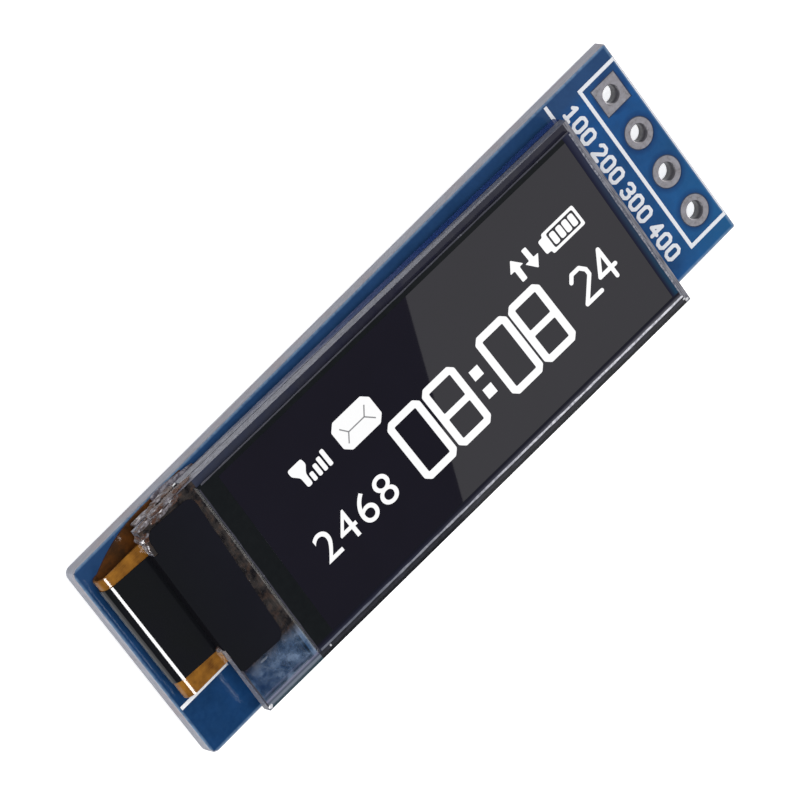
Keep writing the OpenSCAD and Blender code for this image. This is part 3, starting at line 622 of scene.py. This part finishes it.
def dress_frame():
    """Gives every CAD node its procedural material."""
    for name, material in NODE_MATERIALS.items():
        slots = frame["nodes"][name].data.materials
        slots.clear()
        slots.append(MATERIALS[material])


# ---------------- shapes


def finish_piece(piece, material):
    """Gives a new piece its material, and lets it ride on the module."""
    piece.data.materials.clear()
    piece.data.materials.append(MATERIALS[material])
    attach(piece, "root")
    return piece


def link_mesh(name, mesh):
    """An object in the scene that shows the mesh."""
    piece = bpy.data.objects.new(name, mesh)
    bpy.context.scene.collection.objects.link(piece)
    return piece


def raised(height):
    return Matrix.Translation((0, 0, height))


def from_curve(name, curve, place):
    """A mesh object made from a filled curve, moved by the matrix."""
    holder = bpy.data.objects.new(name + "_curve", curve)
    bpy.context.scene.collection.objects.link(holder)
    bpy.context.view_layer.update()
    mesh = bpy.data.meshes.new_from_object(holder.evaluated_get(bpy.context.evaluated_depsgraph_get()))
    bpy.data.objects.remove(holder)
    mesh.transform(place)
    mesh.name = name
    return link_mesh(name, mesh)


def rounded(points, radius, steps=4):
    """The closed outline with each corner cut to an arc-like curve."""
    out = []
    count = len(points)
    for i, corner in enumerate(points):
        corner = Vector(corner)
        before = Vector(points[i - 1])
        after = Vector(points[(i + 1) % count])
        reach = min(radius, (before - corner).length / 2, (after - corner).length / 2)
        start = corner + (before - corner).normalized() * reach
        end = corner + (after - corner).normalized() * reach
        for k in range(steps + 1):
            t = k / steps
            out.append((1 - t) ** 2 * start + 2 * t * (1 - t) * corner + t * t * end)
    return out


def flat_shape(name, loops, thickness, place):
    """A thin plate from outlines in millimetres; an outline inside another is a hole."""
    curve = bpy.data.curves.new(name, "CURVE")
    curve.dimensions = "2D"
    curve.fill_mode = "BOTH"
    curve.extrude = thickness / 2
    for loop in loops:
        spline = curve.splines.new("POLY")
        spline.points.add(len(loop) - 1)
        for point, (x, y) in zip(spline.points, loop):
            point.co = (x * MM, y * MM, 0, 1)
        spline.use_cyclic_u = True
    return from_curve(name, curve, place)


# Height of a figure in Blender's own font, against its size
FIGURE_HEIGHT = 0.729


def flat_text(name, text, height, centre, thickness, place, condense, track):
    """Plain numbers with figures of the given height, centred on a point in millimetres."""
    curve = bpy.data.curves.new(name, "FONT")
    curve.body = text
    curve.size = height * MM / FIGURE_HEIGHT
    curve.space_character = track
    curve.extrude = thickness / 2
    curve.align_x = "CENTER"
    curve.align_y = "BOTTOM_BASELINE"
    shift = Matrix.Translation((centre[0] * MM, (centre[1] - height / 2) * MM, 0))
    return from_curve(name, curve, place @ shift @ Matrix.Diagonal((condense, 1, 1, 1)))


def joined(name, pieces):
    """One object from several."""
    mesh = bpy.data.meshes.new(name)
    work = bmesh.new()
    for piece in pieces:
        work.from_mesh(piece.data)
        bpy.data.objects.remove(piece)
    work.to_mesh(mesh)
    work.free()
    return link_mesh(name, mesh)


def chamfered(left, right, low, high, cut):
    """A rectangle with its four corners cut off."""
    return [
        (left + cut, low), (right - cut, low), (right, low + cut), (right, high - cut),
        (right - cut, high), (left + cut, high), (left, high - cut), (left, low + cut),
    ]


# ---------------- what the display shows

# Millimetres from the middle of the glass, in the panel's frame
LIT_THICKNESS = 0.003 * MM
FILM_THICKNESS = 0.004 * MM
SCREEN_LEAN = 0.045
screen_shear = Matrix.Identity(4)
screen_shear[0][1] = -SCREEN_LEAN
screen_level = polarizer_high.z + FILM_THICKNESS + LIT_THICKNESS / 2
SCREEN = PANEL @ raised(screen_level) @ screen_shear
DIGIT_TOP = 0.87
DIGIT_LOW = -2.88
DIGIT_STROKE = 0.4
DIGIT_CUT = 0.3
DIGIT_BAR = (-1.24, -0.87)


def big_digit(left, right, with_bar):
    """Outlines of a nought, or of an eight where it has a bar."""
    inner_left = left + DIGIT_STROKE
    inner_right = right - DIGIT_STROKE
    inner_low = DIGIT_LOW + DIGIT_STROKE
    inner_high = DIGIT_TOP - DIGIT_STROKE
    loops = [chamfered(left, right, DIGIT_LOW, DIGIT_TOP, DIGIT_CUT)]
    holes = [(inner_low, inner_high)]
    if with_bar:
        holes = [(inner_low, DIGIT_BAR[0]), (DIGIT_BAR[1], inner_high)]
    for low, high in holes:
        loops.append(rectangle(inner_left, low, inner_right, high))
    return loops


def rectangle(left, low, right, high):
    return [(left, low), (right, low), (right, high), (left, high)]


def show_time():
    """Two pairs of figures with two square dots between."""
    loops = []
    figures = ((-1.93, 0.34, False), (0.5, 2.77, True), (4.29, 6.5, False), (6.62, 8.85, True))
    for left, right, with_bar in figures:
        loops += [rounded(loop, 0.07, 3) for loop in big_digit(left, right, with_bar)]
    for low in (-0.77, -1.95):
        loops.append(rectangle(3.18, low, 3.78, low + 0.6))
    return flat_shape("lit_time", loops, LIT_THICKNESS, SCREEN)


def show_signal():
    """A mast and four rising bars."""
    head = [(-7.12, 2.72), (-6.19, 2.72), (-6.14, 2.36), (-6.44, 1.98), (-6.46, 1.35), (-6.78, 1.35),
            (-6.8, 1.98), (-7.14, 2.36)]
    loops = [rounded(head, 0.12)]
    for left, top in ((-6.34, 1.86), (-5.97, 2.05), (-5.62, 2.18), (-5.26, 2.34)):
        loops.append(rounded(rectangle(left, 1.35, left + 0.24, top), 0.09))
    return flat_shape("lit_signal", loops, LIT_THICKNESS, SCREEN)


def square_line(start, end, width):
    """Outline of a straight stroke between two points, with square ends."""
    start, end = Vector(start), Vector(end)
    side = (end - start).normalized().orthogonal() * width / 2
    return [start + side, end + side, end - side, start - side]


def show_letter():
    """An envelope with thin dark fold lines."""
    body = rounded(chamfered(-4.19, -1.54, 1.15, 2.92, 0.36), 0.06, 3)
    folds = [((-3.76, 2.42), (-3.45, 1.99)), ((-3.45, 1.99), (-3.8, 1.53)), ((-2.37, 1.99), (-2.0, 2.46)),
             ((-2.37, 1.99), (-1.93, 1.53)), ((-3.45, 1.99), (-2.37, 1.99))]
    plate = flat_shape("lit_letter", [body], LIT_THICKNESS, SCREEN)
    lift = raised(LIT_THICKNESS)
    lines = joined("letter_folds", [
        flat_shape("fold", [square_line(*fold, 0.07)], LIT_THICKNESS, SCREEN @ lift) for fold in folds])
    finish_piece(lines, "fold_line")
    return plate


def show_arrows():
    """An arrow up and an arrow down."""
    up = [(8.41, 2.56), (8.88, 1.98), (8.62, 1.98), (8.6, 1.26), (8.27, 1.26), (8.27, 1.98), (7.98, 1.98)]
    down = [(9.38, 1.24), (9.82, 1.84), (9.5, 1.84), (9.47, 2.53), (9.17, 2.53), (9.19, 1.84), (8.92, 1.84)]
    return flat_shape("lit_arrows", [rounded(up, 0.07), rounded(down, 0.07)], LIT_THICKNESS, SCREEN)


def show_battery():
    """A battery case with four full cells."""
    body = [(10.45, 1.2), (12.72, 1.2), (12.72, 2.42), (10.5, 2.42), (10.45, 2.25), (10.13, 2.25),
            (10.13, 1.42), (10.45, 1.42)]
    loops = [rounded(body, 0.13), rounded(rectangle(10.7, 1.36, 12.56, 2.26), 0.12)]
    for left in (10.81, 11.26, 11.68, 12.11):
        loops.append(rounded(rectangle(left, 1.46, left + 0.34, 2.15), 0.12))
    return flat_shape("lit_battery", loops, LIT_THICKNESS, SCREEN)


def show_numbers():
    """Plain numbers left and right of the time."""
    height = 1.72
    left = flat_text("left_number", "2468", height, (-5.85, -1.46), LIT_THICKNESS, SCREEN, 1.02, 1.12)
    spot = Matrix.Translation((11.42 * MM, -1.12 * MM, 0))
    right = stroked("right_number", "24", height, 1.38, 0.23, LIT_THICKNESS, SCREEN @ spot)
    return joined("lit_numbers", [left, right])


def make_window():
    """The clean dark field in which the display shows."""
    place = PANEL @ raised(polarizer_high.z + FILM_THICKNESS / 2)
    window = flat_shape("display_window", [rectangle(*WINDOW_LOW, *WINDOW_HIGH)], FILM_THICKNESS, place)
    finish_piece(window, "window")


def make_screen():
    """Everything that the display shows, each in one piece."""
    for show in (show_time, show_signal, show_letter, show_arrows, show_battery, show_numbers):
        finish_piece(show(), "lit")


# ---------------- board details

PRINT_THICKNESS = 0.02 * MM
# The pin numbers' height, pen width and step from figure to figure, and their middle along the board
LABEL_HEIGHT = 0.97
LABEL_STROKE = 0.19
FIGURE_STEP = 0.76
LABEL_X = 15.44
# Strokes that cross lie one on another like layers of ink
STROKE_STEP = 0.001 * MM
# Plain figures as pen strokes in a cell 0.6 wide and 1 high
FIGURES = {
    "0": [[(0.15, 0), (0.45, 0), (0.6, 0.18), (0.6, 0.82), (0.45, 1), (0.15, 1), (0, 0.82), (0, 0.18),
           (0.15, 0)]],
    "1": [[(0.08, 0.78), (0.32, 1), (0.32, 0)], [(0.08, 0), (0.56, 0)]],
    "2": [[(0, 0.82), (0.15, 1), (0.45, 1), (0.6, 0.82), (0.6, 0.64), (0, 0), (0.6, 0)]],
    "3": [[(0, 0.86), (0.14, 1), (0.45, 1), (0.6, 0.85), (0.6, 0.67), (0.45, 0.53), (0.22, 0.53)],
          [(0.45, 0.53), (0.6, 0.38), (0.6, 0.15), (0.45, 0), (0.14, 0), (0, 0.14)]],
    "4": [[(0.45, 0), (0.45, 1), (0, 0.32), (0.62, 0.32)]],
}


def pen_line(start, end, width):
    """Outline of a straight pen stroke with round ends."""
    start, end = Vector(start), Vector(end)
    along = (end - start).normalized() * width / 2
    steps = 6
    out = []
    for centre, turn in ((end, -90), (start, 90)):
        for k in range(steps + 1):
            angle = math.radians(turn + 180 / steps * k)
            out.append(centre + Matrix.Rotation(angle, 2) @ along)
    return out


def stroked(name, text, height, step, width, thickness, place):
    """Plain figures drawn with a round pen, centred on the place's origin; sizes in millimetres."""
    middle = ((len(text) - 1) * step + 0.6 * height) / 2
    strokes = []
    for index, figure in enumerate(text):
        for path in FIGURES[figure]:
            points = [(x * height + index * step - middle, (y - 0.5) * height) for x, y in path]
            for start, end in zip(points, points[1:]):
                lift = raised(len(strokes) % 4 * STROKE_STEP)
                strokes.append(flat_shape("stroke", [pen_line(start, end, width)], thickness, place @ lift))
    return joined(name, strokes)


def make_pin_numbers():
    """Plain numbers beside the header holes, printed with their tops towards the header."""
    numbers = []
    flat = raised(mask_high.z + PRINT_THICKNESS / 2)
    for index, mount in enumerate(pin_mounts):
        spot = Matrix.Translation((LABEL_X * MM, mount["pos_m"][1], 0))
        spot = spot @ Matrix.Rotation(-math.pi / 2, 4, "Z")
        numbers.append(stroked(f"pin_{index}", f"{index + 1}00", LABEL_HEIGHT - LABEL_STROKE, FIGURE_STEP,
                               LABEL_STROKE, PRINT_THICKNESS, flat @ spot))
    finish_piece(joined("pin_numbers", numbers), "ink")


def tube(name, centre, inner, outer, low, high, sides=64):
    """The wall of an upright pipe, with flat rims."""
    work = bmesh.new()
    rings = []
    for radius, z in ((outer, low), (outer, high), (inner, high), (inner, low)):
        ring = []
        for k in range(sides):
            angle = 2 * math.pi * k / sides
            x = centre[0] + radius * math.cos(angle)
            y = centre[1] + radius * math.sin(angle)
            ring.append(work.verts.new((x, y, z)))
        rings.append(ring)
    for i in range(4):
        first, second = rings[i], rings[(i + 1) % 4]
        for k in range(sides):
            work.faces.new((first[k], first[(k + 1) % sides], second[(k + 1) % sides], second[k]))
    for face in work.faces:
        face.smooth = abs(face.normal.z) < 0.5
    bmesh.ops.recalc_face_normals(work, faces=work.faces)
    mesh = bpy.data.meshes.new(name)
    work.to_mesh(mesh)
    work.free()
    return link_mesh(name, mesh)


def make_hole_linings():
    """The thin plated wall of each header hole."""
    pads_low, pads_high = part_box("header_pads")
    linings = []
    for index, mount in enumerate(pin_mounts):
        radius = mount["dims"]["r_mm"] * MM
        linings.append(tube(f"lining_{index}", mount["pos_m"], radius - 0.025 * MM, radius - 0.002 * MM,
                            pads_low.z, pads_high.z))
    finish_piece(joined("hole_linings", linings), "plating")


# ---------------- painted glints on glass edges, and glue


def ribbon(start, end, width, seed):
    """Outline in millimetres of a straight line that swells and thins a little."""
    start, end = Vector(start), Vector(end)
    along = (end - start).normalized()
    side = Vector((-along.y, along.x))
    steps = max(8, int((end - start).length / 0.25))
    left, right = [], []
    for k in range(steps + 1):
        point = start + (end - start) * k / steps
        swell = 1 + 0.45 * noise.noise(Vector((k * 0.37, seed, 0)))
        drift = 0.15 * width * noise.noise(Vector((k * 0.21, seed, 5)))
        left.append(point + side * (drift + width * swell / 2))
        right.append(point + side * (drift - width * swell / 2))
    return left + right[::-1]


def make_glints():
    """Painted glints: pale lines along the cut edges of the polarizer and the front glass."""

    def edge_line(name, level, start, end, width, seed):
        place = PANEL @ raised(level + FILM_THICKNESS / 2)
        return flat_shape(name, [ribbon(start, end, width, seed)], FILM_THICKNESS, place)

    film = polarizer_high.z
    faint = [edge_line("film_start", film, (FILM_START, 5.2), (FILM_START, -5.25), 0.08, 2),
             edge_line("ledge_start", glass_high.z, (-14.95, -1.9), (-14.95, -5.6), 0.09, 6)]
    finish_piece(joined("faint_glints", faint), "faint_glint")
    top = edge_line("film_top", film, (-11.1, 5.33), (14.66, 5.33), 0.08, 1)
    finish_piece(top, "dull_glint")
    end = edge_line("film_end", film, (14.64, 5.2), (14.64, -5.2), 0.09, 3)
    finish_piece(end, "glint")
    low = edge_line("film_low", film, (-11.2, -5.24), (14.66, -5.24), 0.11, 7)
    finish_piece(low, "bright_glint")


def blob(centre, radii, seed, wave=0.35):
    """A drop with a wavy skin; centre and radii in millimetres in the panel's frame."""
    work = bmesh.new()
    bmesh.ops.create_icosphere(work, subdivisions=3, radius=1)
    for vert in work.verts:
        swell = 1 + wave * noise.noise(vert.co * 1.6 + Vector((seed, seed, seed)))
        vert.co = Vector([c * MM + r * MM * swell * k for c, r, k in zip(centre, radii, vert.co)])
    for face in work.faces:
        face.smooth = True
    mesh = bpy.data.meshes.new("blob")
    work.to_mesh(mesh)
    work.free()
    mesh.transform(PANEL)
    return link_mesh("blob", mesh)


def make_glue():
    """Glue that ran out round the ledge, chips along the glass, and what dried over and under them."""
    top = glass_high.z / MM
    under = glass_low.z / MM
    # Each drop and chip: its centre and its radii, in millimetres in the panel's frame
    drops = [
        ((-15.08, 5.33, top - 0.25), (0.17, 0.2, 0.22)),
        ((-14.78, 5.22, top - 0.02), (0.34, 0.3, 0.05)),
        ((-14.95, 4.75, top - 0.1), (0.12, 0.36, 0.12)),
        ((-14.5, 5.72, top - 0.2), (0.55, 0.14, 0.24)),
        ((-13.6, 5.6, top - 0.03), (0.75, 0.2, 0.05)),
        ((-13.5, 5.78, top - 0.3), (0.8, 0.12, 0.28)),
        ((-12.5, 5.8, top - 0.32), (0.8, 0.11, 0.27)),
        ((-12.6, 5.62, top - 0.02), (0.6, 0.14, 0.04)),
        ((-11.7, 5.8, top - 0.36), (0.6, 0.08, 0.2)),
        ((-13.9, 5.76, under - 0.3), (0.9, 0.11, 0.3)),
        ((-12.6, 5.79, under - 0.45), (0.8, 0.11, 0.26)),
        ((-15.12, -1.68, top - 0.3), (0.14, 0.16, 0.16)),
    ]
    pieces = [blob(centre, radii, index * 3.1) for index, (centre, radii) in enumerate(drops)]
    glue = finish_piece(joined("glue_drops", pieces), "glue")
    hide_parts("clear_glue")
    chips = [
        ((14.82, -5.62, top + 0.005), (0.1, 0.07, 0.02)),
        ((14.7, -5.5, top + 0.01), (0.07, 0.05, 0.02)),
        ((-14.86, -5.6, top), (0.13, 0.1, 0.03)),
        ((-10.6, -5.5, top), (0.05, 0.06, 0.01)),
        ((-13.4, 5.7, top - 0.02), (0.2, 0.05, 0.03)),
        ((-12.75, 5.71, top - 0.03), (0.22, 0.05, 0.03)),
        ((-13.52, -3.86, under + 0.02), (0.24, 0.06, 0.02)),
    ]
    pieces = [blob(centre, radii, 40 + index) for index, (centre, radii) in enumerate(chips)]
    finish_piece(joined("edge_chips", pieces), "chip")
    crust = rounded([(-13.1, 5.95), (-12.7, 5.45), (-10.2, 5.4), (-10.2, 5.75), (-12.2, 6.0)], 0.3)
    over_tail = PANEL @ raised(mask_high.z + 0.2 * MM)
    finish_piece(flat_shape("dried_glue", [crust], 0.02 * MM, over_tail), "dried")
    smear = [(-13.7, -3.6), (-13.2, -3.7), (-11.8, -3.5), (-11.65, -5.5), (-12.3, -5.55), (-12.9, -4.9)]
    streak = ribbon((-13.9, -3.95), (-12.6, -5.5), 0.1, 11)
    skin = 0.01 * MM
    place = PANEL @ raised(glass_low.z - skin)
    smears = [flat_shape("smear", [rounded(smear, 0.4)], skin, place),
              flat_shape("streak", [streak], skin, place @ raised(-2 * skin))]
    finish_piece(joined("glue_smear", smears), "frost")


# ---------------- stage and light

# A surface that gives off this much is white in the picture
WHITE_LEVEL = 1.0
WORLD_LEVEL = 0.5
KEY_LEVEL = 2.2
KEY_SIZE = 0.5
# With the light that falls on it, this makes the floor white
FLOOR_GLOW = 0.7
FLOOR_HALF = 1.5


def stage_mesh(name, corners, material):
    """One flat face that isn't part of the module."""
    mesh = bpy.data.meshes.new(name)
    mesh.from_pydata([tuple(c) for c in corners], [], [tuple(range(len(corners)))])
    mesh.materials.append(material)
    piece = link_mesh(name, mesh)
    return piece


def make_floor():
    """A pale floor that keeps the module's shadow; camera, reflections and glass see it as white."""
    look = Surface("pale_floor")
    look.set(Base_Color=look.mix(look.noise(0.05), (0.9, 0.9, 0.9), (0.93, 0.93, 0.93)), Roughness=0.9)
    look.set(Specular_IOR_Level=0.0)
    path = look.node("LightPath")
    seen = look.math("MAXIMUM", path.outputs["Is Camera Ray"], path.outputs["Is Glossy Ray"])
    seen = look.math("MAXIMUM", seen, path.outputs["Is Transmission Ray"])
    look.set(Emission_Color=(1, 1, 1, 1), Emission_Strength=look.times(seen, FLOOR_GLOW))
    corners = rectangle(-FLOOR_HALF, -FLOOR_HALF, FLOOR_HALF, FLOOR_HALF)
    stage_mesh("floor", [(x, y, 0) for x, y in corners], look.material)


def reflected_at(point, height):
    """Where, at a height above the polarizer, the camera's ray goes after mirroring there."""
    eye = bpy.context.scene.camera.matrix_world.translation.copy()
    level = polarizer_high.z
    mirrored = Vector((eye.x, eye.y, 2 * level - eye.z))
    start = Vector((point.x, point.y, level))
    return mirrored + (start - mirrored) * (eye.z - level + height) / (eye.z - level)


def make_dark_card():
    """A card over the flex end: its slanted edge is the slanted line in the polarizer's reflection."""
    height = 60 * MM
    spare = 40 * MM
    width = 60 * MM
    first = reflected_at(PANEL @ Vector((2.54 * MM, 4.2 * MM, 0)), height)
    second = reflected_at(PANEL @ Vector((-0.9 * MM, -4.83 * MM, 0)), height)
    along = (first - second).normalized()
    away = Vector((along.y, -along.x, 0))
    away = away if away.x < 0 else -away
    corners = [second - along * spare, first + along * spare]
    corners += [corners[1] + away * width, corners[0] + away * width]
    reflection_card("dark_card", corners, (0.85, 0.88, 1.0), 0.16)


def reflection_card(name, corners, colour, level):
    """A card that is only seen as a reflection."""
    look = Surface(name)
    glow = look.node("Emission", {"Color": (*colour, 1), "Strength": level})
    look.tree.links.new(glow.outputs[0], look.output.inputs["Surface"])
    card = stage_mesh(name, corners, look.material)
    card.visible_camera = False
    card.visible_diffuse = False
    card.visible_shadow = False
    card.visible_transmission = False


def card_across(start, direction, distance, long_axis, length, width):
    """Corners of a card that faces the start point from a direction."""
    direction = Vector(direction).normalized()
    long_axis = Vector(long_axis)
    long_axis = (long_axis - direction * long_axis.dot(direction)).normalized() * length / 2
    short_axis = direction.cross(long_axis).normalized() * width / 2
    middle = Vector(start) + direction * distance
    return [middle + a * long_axis + b * short_axis for a, b in ((-1, -1), (1, -1), (1, 1), (-1, 1))]


def make_fold_cards():
    """A bright strip whose reflection runs along the fold, and a dark card beyond the board's end."""
    fold = (board_low.x + 1 * MM, 0.7 * MM, neck_high.z)
    strip = card_across(fold, (-0.26, -0.4, 0.88), 50 * MM, (1, 0, 0.3), 22 * MM, 30 * MM)
    reflection_card("bright_strip", strip, (1, 1, 1), 45)
    flag = [(-50 * MM, y, z) for y, z in rectangle(-120 * MM, 0, 80 * MM, 50 * MM)]
    reflection_card("dark_flag", flag, (0.8, 0.85, 1.0), 0.12)


def make_world():
    """Even light from all round; camera, reflections and glass see it as white."""
    world = bpy.data.worlds.new("studio")
    world.use_nodes = True
    tree = world.node_tree
    path = tree.nodes.new("ShaderNodeLightPath")
    seen = path.outputs["Is Camera Ray"]
    for ray in ("Is Glossy Ray", "Is Transmission Ray"):
        either = tree.nodes.new("ShaderNodeMath")
        either.operation = "MAXIMUM"
        tree.links.new(seen, either.inputs[0])
        tree.links.new(path.outputs[ray], either.inputs[1])
        seen = either.outputs[0]
    level = tree.nodes.new("ShaderNodeMapRange")
    level.inputs["To Min"].default_value = WORLD_LEVEL
    level.inputs["To Max"].default_value = WHITE_LEVEL
    tree.links.new(seen, level.inputs["Value"])
    background = tree.nodes["Background"]
    background.inputs["Color"].default_value = (1, 1, 1, 1)
    tree.links.new(level.outputs["Result"], background.inputs["Strength"])
    bpy.context.scene.world = world


def make_key_light():
    """One large soft box above the far side, which reflections don't show."""
    data = bpy.data.lights.new("key", "AREA")
    data.shape = "RECTANGLE"
    data.size = KEY_SIZE
    data.size_y = KEY_SIZE
    data.energy = KEY_LEVEL * math.pi * KEY_SIZE ** 2
    lamp = bpy.data.objects.new("key", data)
    direction = Vector((-0.15, 0.35, 0.92)).normalized()
    lamp.location = direction * 0.6
    lamp.rotation_euler = direction.to_track_quat("Z", "Y").to_euler()
    lamp.visible_camera = False
    lamp.visible_glossy = False
    bpy.context.scene.collection.objects.link(lamp)


make_camera()
dress_frame()
make_window()
make_screen()
make_pin_numbers()
make_glints()
make_glue()
make_hole_linings()
make_floor()
make_dark_card()
make_fold_cards()
make_world()
make_key_light()
bpy.context.scene.view_settings.view_transform = "Standard"
